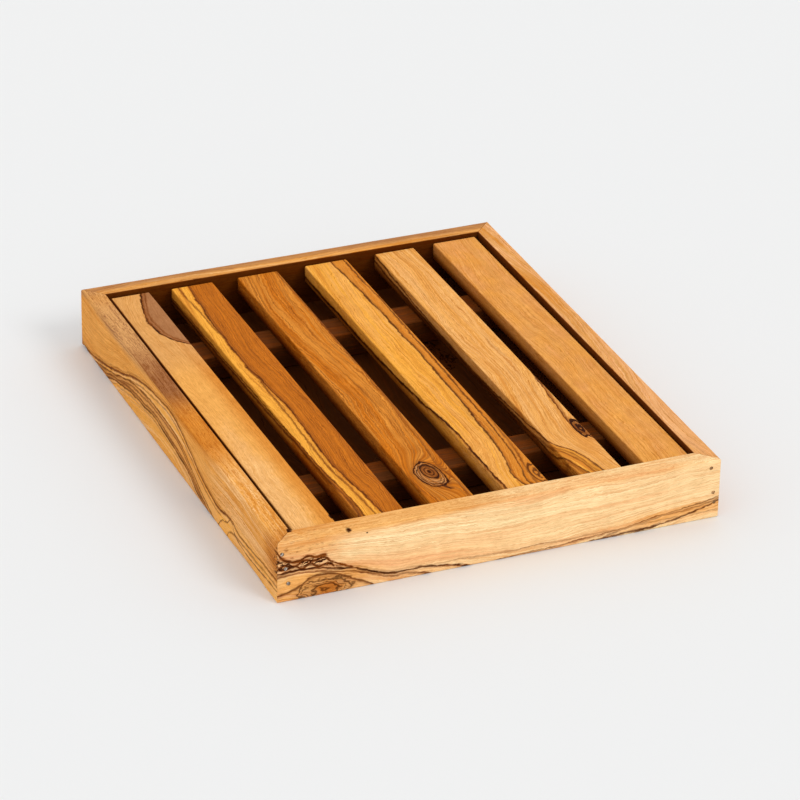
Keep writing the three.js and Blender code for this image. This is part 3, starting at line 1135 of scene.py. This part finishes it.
def slat_board(number, middle, seed, side_shade, colours):
    """A slat's wood. Side shade is how strong the painted shade on its sides is, low down most of
    all.
    """
    axes = [(1, 1, SLAT_REACH), (0, 1, -middle), (2, 1, -SLAT_LOW)]
    board = Board(f"slat_{number}_wood", axes, SLAT_LENGTH, seed, colours)
    board.datum = SLAT_HIGH - SLAT_LOW
    board.lean(0.4)
    # Painted shade on the sides: a little just under the top edge, and most towards the bottom.
    rim = board.mul(board.fall(board.into, 11.1, 11.8), 0.12)
    low = board.mul(board.fall(board.into, -2.0, 7.5), 0.88)
    board.mark("shade", board.add(rim, low), side_shade)
    return board


def slat_1_wood(middle):
    board = slat_board(1, middle, 31.0, 1.0, "gold gold gold")
    board.zone((30, -7), (90, 9), 0.6, 0.55, "peach peach gold")
    board.bend([(0, 4), (120, 2), (220, -2), (290, -6), (335, 2)])
    board.tint(board.step(board.level, 1.0, 12.0), 0.85, "amber amber honey")
    board.tint(board.step(board.along, 200.0, 250.0), 0.7, "tan tan amber")
    vein = [(0, 40), (225, 40), (250, 16), (262, 6), (272, 1), (285, -1.5), (300, -1.5),
            (315, 1.5), (335, 7)]
    board.line(vein, 1.6, 1.0, 1, 3.0)
    board.line(shifted(vein, 3.0), 1.0, 0.5)
    board.tint(board.above(vein), 0.95, "mauve mauve mauve")
    board.mark("shade", board.fall(board.across, -14.1, -13.2))
    board.chip_and_shadow((8, 14.5, 12), (3.5, 1.2, 2.0))
    return board.finish(0.55, 0.1, 0.02)


def slat_2_wood(middle):
    board = slat_board(2, middle, 37.0, 1.0, "amber ginger honey")
    board.bend([(0, 0), (30, 2), (60, 0), (120, 4), (200, 0), (335, 5)])
    right = [(0, 1.5), (8, 0.6), (30, -1.2), (58, -4), (88, -5.2), (140, -3), (220, -8),
             (335, -4)]
    left = [(0, -11), (28, -10.4), (58, -12.8), (100, -14.5), (150, -17), (335, -22)]
    board.tint(board.above(right), 0.95, "honey honey brown")
    board.tint(board.between(right, left), 0.95, "straw straw amber")
    board.tint(board.below(left), 0.9, "amber honey brown")
    board.line(left, 1.3, 0.85, 1, 1.2)
    board.line(shifted(left, -2.2), 1.4, 0.7)
    board.line(right, 1.3, 0.85, 1, 3.0)
    board.line([(0, -3.4), (20, -4), (40, -5.4), (70, -8), (160, -7), (335, -11)], 0.9, 0.55)
    return board.finish(1.0, 0.3, 0.1)


def slat_3_wood(middle):
    board = slat_board(3, middle, 41.0, 1.0, "amber ginger brown")
    board.bend([(0, -3), (60, 0), (160, 5), (250, -2), (335, 3)])
    rings = [(0.98, 0.10, 1.0), (0.80, 0.07, 0.85), (0.64, 0.05, 0.6)]
    reach = board.eye((35.0, 0.2), (17.0, 8.6), -0.06, 20.0, rings)
    board.tint(board.fall(reach, 0.86, 1.0), 0.8, "peach amber brown")
    rings = [(1.0, 0.22, 1.0), (0.5, 0.14, 0.85), (0.0, 0.30, 1.0)]
    reach = board.eye((38.5, 0.8), (9.0, 4.6), -0.08, 0.0, rings)
    board.tint(board.fall(reach, 0.8, 1.1), 0.8, "honey brown umber")
    board.line([(0, 7), (12, 5.6), (19, 2.6), (26, 1), (40, 0), (335, 0)], 1.6, 1.0,
               start=12.0, end=23.0)
    board.line([(0, 11), (20, 12), (45, 9), (80, 11), (335, 12)], 1.2, 0.5, 1, 4.0)
    return board.finish(0.9, 0.32, 0.12)


def slat_4_wood(middle):
    board = slat_board(4, middle, 43.0, 0.7, "gold straw amber")
    board.bend([(0, -4), (20, -2), (40, 2), (70, 6), (140, 2), (335, 6)])
    curl = [(0, 1.5), (6, -0.8), (16, -1.8), (26, 0), (36, 2), (60, 4), (120, 7), (335, 3)]
    board.tint(board.above(curl), 0.95, "amber amber ginger")
    board.line([(0, -13.2), (40, -13.6), (90, -14), (130, -19), (335, -24)], 1.9, 1.0, -1, 3.0)
    board.line(curl, 1.6, 0.85, 1, 2.5)
    board.line([(0, 4.4), (8, 4), (24, 6.4), (40, 9.2), (70, 11), (335, 12)], 1.4, 0.8, 1, 1.6)
    board.line([(0, 8), (10, 8.5), (24, 10), (44, 12.6), (335, 15)], 1.0, 0.5)
    board.knot((14, 13), (12, 3.8), 6.0, 0.6, 0.65, 0.3, 0.16)
    return board.finish(1.0, 0.4, 0.12)


def slat_5_wood(middle):
    board = slat_board(5, middle, 47.0, 1.15, "gold gold honey")
    wave = [(0, -6), (6, -8), (12, -10.5), (24, -14), (36, -19), (60, -21), (335, -21)]
    curve = [(0, 3.5), (8, 2), (18, 0), (30, -4), (44, -12.5), (60, -16), (335, -16)]
    board.bend([(0, 0), (20, -3), (44, -10), (90, -8), (180, -2), (335, -6)])
    board.tint(board.below(curve), 0.9, "straw amber ginger")
    board.tint(board.above(curve), 0.35, "peach gold gold")
    board.zone((48, 9), (26, 7), 0.7, 0.5, "amber amber honey")
    board.tint(board.below(wave), 0.8, "amber brown brown")
    board.line(wave, 1.6, 0.8, -1, 3.0)
    board.line(curve, 1.5, 0.8, -1, 2.5)
    board.line(shifted(curve, -4.0), 1.2, 0.4)
    board.line([(0, -2.6), (8, -4), (18, -6), (30, -11), (44, -17), (335, -20)], 1.2, 0.45)
    board.knot((57, 12.5), (13, 4.2), 10.0, 0.6, 1.0, 0.5, 0.2)
    board.zone((57, 12.5), (10, 4), 0.4, 0.8, "brown brown umber")
    board.line([(0, 17), (35, 16.5), (44, 14), (54, 10), (70, 8.5), (90, 11), (335, 18)], 1.3,
               0.8, 1, 4.0)
    return board.finish(1.0, 0.35, 0.12)


def slat_6_wood(middle):
    board = slat_board(6, middle, 53.0, 1.0, "gold gold amber")
    board.bend([(0, 0), (60, 3), (120, 3), (240, 0), (335, 4)])
    board.tint(board.step(board.wave, -0.2, 0.2), 0.6, "tan rose amber")
    board.tint(1.0, 0.25, "amber amber honey")
    return board.finish(0.8, 0.3, 0.04)


SLAT_WOODS = [slat_1_wood, slat_2_wood, slat_3_wood, slat_4_wood, slat_5_wood, slat_6_wood]


def ease_corner(piece, x, y, side_x, side_y):
    """Slices one of the grate's outer corners off, so that it drops into the tray."""
    width, depth = settings().grate.eased_width, settings().grate.eased_depth
    slice_off(piece, (x - side_x * width, y, 0), (side_x * depth, side_y * width, 0))


def turn_with_grate(piece):
    """Lays a piece askew with the grate."""
    piece.rotation_euler.z = settings().grate.turn
    apply_place(piece)


def build_slat(index, left, width):
    grate = settings().grate
    half = SLAT_REACH * MM
    low = Vector((left * MM, -half, SLAT_LOW * MM))
    high = Vector(((left + width) * MM, half, SLAT_HIGH * MM))
    piece = add_block(f"slat_{index + 1}_piece", low, high)
    for end in (-1, 1):
        if index == 0:
            ease_corner(piece, low.x, end * half, -1, end)
        if index == len(SLATS) - 1:
            ease_corner(piece, high.x, end * half, 1, end)
    round_sharp_edges(piece, grate.edge_round)
    subdivide(piece, 1, 66)
    subdivide(piece, 0, 5)
    sand(piece, settings().tray.unevenness, index)
    turn_with_grate(piece)
    wood = SLAT_WOODS[index](left + width / 2)
    finish(piece, wood, "grate", f"slat_{index + 1}")


class BREADBOARD_OT_slats(bpy.types.Operator):
    """Builds the six slats that the loaf lies on"""

    bl_idname = "bread_board.slats"
    bl_label = "Slats"
    bl_options = {"REGISTER", "UNDO"}

    def execute(self, context):
        for index, (left, width) in enumerate(SLATS):
            build_slat(index, left, width)
        return {"FINISHED"}


def batten_wood(name, seed):
    axes = [(0, 1, 130.0), (1, 1, 0.0), (2, 1, 0.0)]
    # Brown and umber, and the shade mark, are partly painted shade from the slats above.
    board = Board(name, axes, BATTEN_LENGTH, seed, "brown umber umber")
    board.lean(0.5)
    board.mark("shade", 0.15)
    return board.finish(0.9, 0.5, 0.4)


class BREADBOARD_OT_battens(bpy.types.Operator):
    """Builds the two battens under the slats"""

    bl_idname = "bread_board.battens"
    bl_label = "Battens"
    bl_options = {"REGISTER", "UNDO"}

    def execute(self, context):
        for end, side, seed in (("front", -1, 61.0), ("back", 1, 67.0)):
            middle = side * BATTEN_MIDDLE * MM
            piece = add_block(
                f"{end}_batten_piece",
                (-BATTEN_REACH * MM, middle - BATTEN_HALF * MM, BATTEN_LOW * MM),
                (BATTEN_REACH * MM, middle + BATTEN_HALF * MM, BATTEN_HIGH * MM),
            )
            round_sharp_edges(piece, settings().grate.batten_round)
            subdivide(piece, 0, 51)
            sand(piece, settings().tray.under_unevenness, int(seed))
            turn_with_grate(piece)
            wood = batten_wood(f"{end}_batten_wood", seed)
            finish(piece, wood, "grate", f"{end}_batten")
        return {"FINISHED"}


# Brads and pins.


def steel(name, tint, roughness, bare):
    """Drawn steel wire with fine marks, in brighter and darker patches. Bare is how bright the
    darker patches are: on dull steel they are tarnish, and with a low bare the brighter patches
    are painted glints.
    """
    material = empty_material(name)
    b = Bench(material.node_tree)
    place = b.node("ShaderNodeTexCoord").outputs["Object"]
    cloud = b.noise(b.stretch(place, (900, 900, 900), (0, 0, 0)), 3.0)
    marks = b.noise(b.stretch(place, (4000, 600, 4000), (0, 0, 0)), 2.0)
    # Darker patches: tarnish, and where bare is low the dark steel round painted glints.
    tarnished_and_unlit = rgba([value * bare for value in tint])
    tone = b.blend(b.step(cloud, 0.42, 0.6), rgba(tint), tarnished_and_unlit)
    bump = b.node("ShaderNodeBump", {"Height": marks, "Strength": 0.3, "Distance": 0.02 * MM})
    shader = b.node(
        "ShaderNodeBsdfPrincipled",
        {
            "Base Color": tone, "Metallic": 1.0,
            "Roughness": b.add(roughness, b.mul(cloud, 0.2)), "Normal": bump.outputs[0],
        },
    )
    b.node("ShaderNodeOutputMaterial", {0: shader.outputs[0]})
    return material


# How wide the end of the point is, against the shank.
POINT = 0.12


def bench_brad(name, run):
    """A headed brad that stands on its head, with the head's face on Z = 0 and its point up."""
    brads = settings().brads
    deselect_all()
    shank = run - brads.head_thickness - brads.tip
    bpy.ops.mesh.primitive_cylinder_add(
        vertices=brads.sides, radius=brads.shank, depth=shank,
        location=(0, 0, brads.head_thickness + shank / 2),
    )
    piece = bpy.context.active_object
    piece.name = piece.data.name = name
    apply_place(piece)

    def pick_cap(height):
        for face in start_picking(piece, "FACES").polygons:
            face.select = abs(face.center.z - height) < TOUCH and abs(face.normal.z) > 0.9
        bpy.ops.object.mode_set(mode="EDIT")

    pick_cap(brads.head_thickness + shank)
    bpy.ops.mesh.extrude_region_move(TRANSFORM_OT_translate={"value": (0, 0, brads.tip)})
    bpy.ops.transform.resize(value=(POINT, POINT, 1))
    bpy.ops.object.mode_set(mode="OBJECT")
    pick_cap(brads.head_thickness)
    grow = brads.head / brads.shank
    bpy.ops.mesh.extrude_region_move(TRANSFORM_OT_translate={"value": (0, 0, 0)})
    bpy.ops.transform.resize(value=(grow, grow, 1))
    bpy.ops.mesh.extrude_region_move(
        TRANSFORM_OT_translate={"value": (0, 0, -brads.head_thickness)}
    )
    bevel(brads.head_round, 2)
    bpy.ops.object.mode_set(mode="OBJECT")
    return piece


def drive(master, matrix, material, body, node):
    """A copy of the brad, with its own mesh, set in its place."""
    piece = master.copy()
    piece.data = master.data.copy()
    piece.name = piece.data.name = node + "_piece"
    bpy.context.scene.collection.objects.link(piece)
    piece.data.transform(matrix)
    finish(piece, material, body, node)


class BREADBOARD_OT_brads(bpy.types.Operator):
    """Drives the headed brads across the mitres"""

    bl_idname = "bread_board.brads"
    bl_label = "Brads"
    bl_options = {"REGISTER", "UNDO"}

    def execute(self, context):
        tray, brads = settings().tray, settings().brads
        # The bright brads' heads get painted glints: bright patches on much darker steel.
        bright = steel("brad_steel_bright", (0.62, 0.52, 0.44), 0.25, 0.2)
        dull = steel("brad_steel_dull", (0.62, 0.36, 0.17), 0.6, 0.45)
        master = bench_brad("brad_master", brads.brad_length)
        for row in BRAD_ROWS:
            side = -1 if row[0] == "front" else 1
            material = bright if row[1] == "left" else dull
            for index, (x, z) in enumerate(brad_spots(row)):
                face = side * (tray.depth / 2 - brads.sink)
                matrix = Matrix.Translation((x, face, z)) @ Matrix.Rotation(side * pi / 2, 4, "X")
                node = f"brad_{row[0]}_{row[1]}_{index + 1}"
                drive(master, matrix, material, "tray", node)
        bpy.data.objects.remove(master)
        return {"FINISHED"}


class BREADBOARD_OT_pins(bpy.types.Operator):
    """Drives the pins that hold the battens under the slats"""

    bl_idname = "bread_board.pins"
    bl_label = "Pins"
    bl_options = {"REGISTER", "UNDO"}

    def execute(self, context):
        brads = settings().brads
        material = steel("pin_steel", (0.5, 0.49, 0.46), 0.3, 0.45)
        master = bench_brad("pin_master", brads.pin_length)
        turn = Matrix.Rotation(settings().grate.turn, 4, "Z")
        under = BATTEN_LOW * MM + brads.sink
        for row, side in (("front", -1), ("back", 1)):
            for index, (left, width) in enumerate(SLATS):
                spot = ((left + width / 2) * MM, side * BATTEN_MIDDLE * MM, under)
                node = f"pin_{row}_{index + 1}"
                matrix = turn @ Matrix.Translation(spot)
                drive(master, matrix, material, "grate", node)
        bpy.data.objects.remove(master)
        return {"FINISHED"}


# Stage.


def floor_paint():
    material = bpy.data.materials.new("stage_floor")
    material.use_nodes = True
    shader = material.node_tree.nodes["Principled BSDF"]
    shader.inputs["Base Color"].default_value = rgba(settings().stage.floor)
    shader.inputs["Roughness"].default_value = 0.75
    return material


def set_camera():
    stage = settings().stage
    data = bpy.data.cameras.new("camera")
    data.sensor_width = 36.0
    data.lens = stage.focal
    camera = bpy.data.objects.new("camera", data)
    bpy.context.scene.collection.objects.link(camera)
    back = Vector(
        (
            sin(stage.azimuth) * cos(stage.elevation),
            -cos(stage.azimuth) * cos(stage.elevation),
            sin(stage.elevation),
        )
    )
    camera.location = Vector(stage.target) + back * stage.distance
    look = (-back).to_track_quat("-Z", "Y") @ Quaternion((0, 0, 1), stage.roll)
    camera.rotation_mode = "QUATERNION"
    camera.rotation_quaternion = look
    bpy.context.scene.camera = camera


def add_sun():
    stage = settings().stage
    data = bpy.data.lights.new("soft_sun", "SUN")
    data.energy = stage.sun
    data.angle = stage.softness
    lamp = bpy.data.objects.new("soft_sun", data)
    bpy.context.scene.collection.objects.link(lamp)
    lamp.location = (0.8, -1.4, 1.4)
    lamp.rotation_euler = Vector(stage.direction).to_track_quat("-Z", "Y").to_euler()


class BREADBOARD_OT_stage(bpy.types.Operator):
    """Sets the floor, the lamp, the sky and the camera"""

    bl_idname = "bread_board.stage"
    bl_label = "Stage"
    bl_options = {"REGISTER", "UNDO"}

    def execute(self, context):
        stage = settings().stage
        deselect_all()
        bpy.ops.mesh.primitive_plane_add(size=stage.floor_size, location=(0, 2, 0))
        floor = context.active_object
        floor.name = "stage_floor"
        apply_place(floor)
        floor.data.materials.append(floor_paint())
        add_sun()
        world = bpy.data.worlds.new("sky")
        context.scene.world = world
        world.use_nodes = True
        sky = world.node_tree.nodes["Background"]
        sky.inputs["Color"].default_value = (1.0, 1.0, 1.0, 1.0)
        sky.inputs["Strength"].default_value = stage.sky
        context.scene.view_settings.view_transform = "Standard"
        set_camera()
        return {"FINISHED"}


# Panel and run.


STEPS = ["stage", "rails", "floor_board", "battens", "slats", "brads", "pins"]


class BREADBOARD_PT_panel(bpy.types.Panel):
    """Lists the steps that build the board, and its settings"""

    bl_idname = "BREADBOARD_PT_panel"
    bl_label = "Bread Board"
    bl_space_type = "VIEW_3D"
    bl_region_type = "UI"
    bl_category = "Bread Board"

    def draw(self, context):
        column = self.layout.column(align=True)
        for step in STEPS:
            column.operator(f"bread_board.{step}")
        for part in BreadBoardSettings.__annotations__:
            group = getattr(settings(), part)
            box = self.layout.box()
            for name in group.__annotations__:
                box.prop(group, name)


CLASSES = [
    TraySizes, GrateSizes, BradSizes, WoodColours, StageSettings, BreadBoardSettings,
    BREADBOARD_OT_stage, BREADBOARD_OT_rails, BREADBOARD_OT_floor_board, BREADBOARD_OT_battens,
    BREADBOARD_OT_slats, BREADBOARD_OT_brads, BREADBOARD_OT_pins, BREADBOARD_PT_panel,
]


def register():
    for part in CLASSES:
        bpy.utils.register_class(part)
    bpy.types.Scene.bread_board = PointerProperty(type=BreadBoardSettings)


def unregister():
    del bpy.types.Scene.bread_board
    for part in reversed(CLASSES):
        bpy.utils.unregister_class(part)


def main():
    register()
    for step in STEPS:
        getattr(bpy.ops.bread_board, step)()


if __name__ == "__main__":
    main()
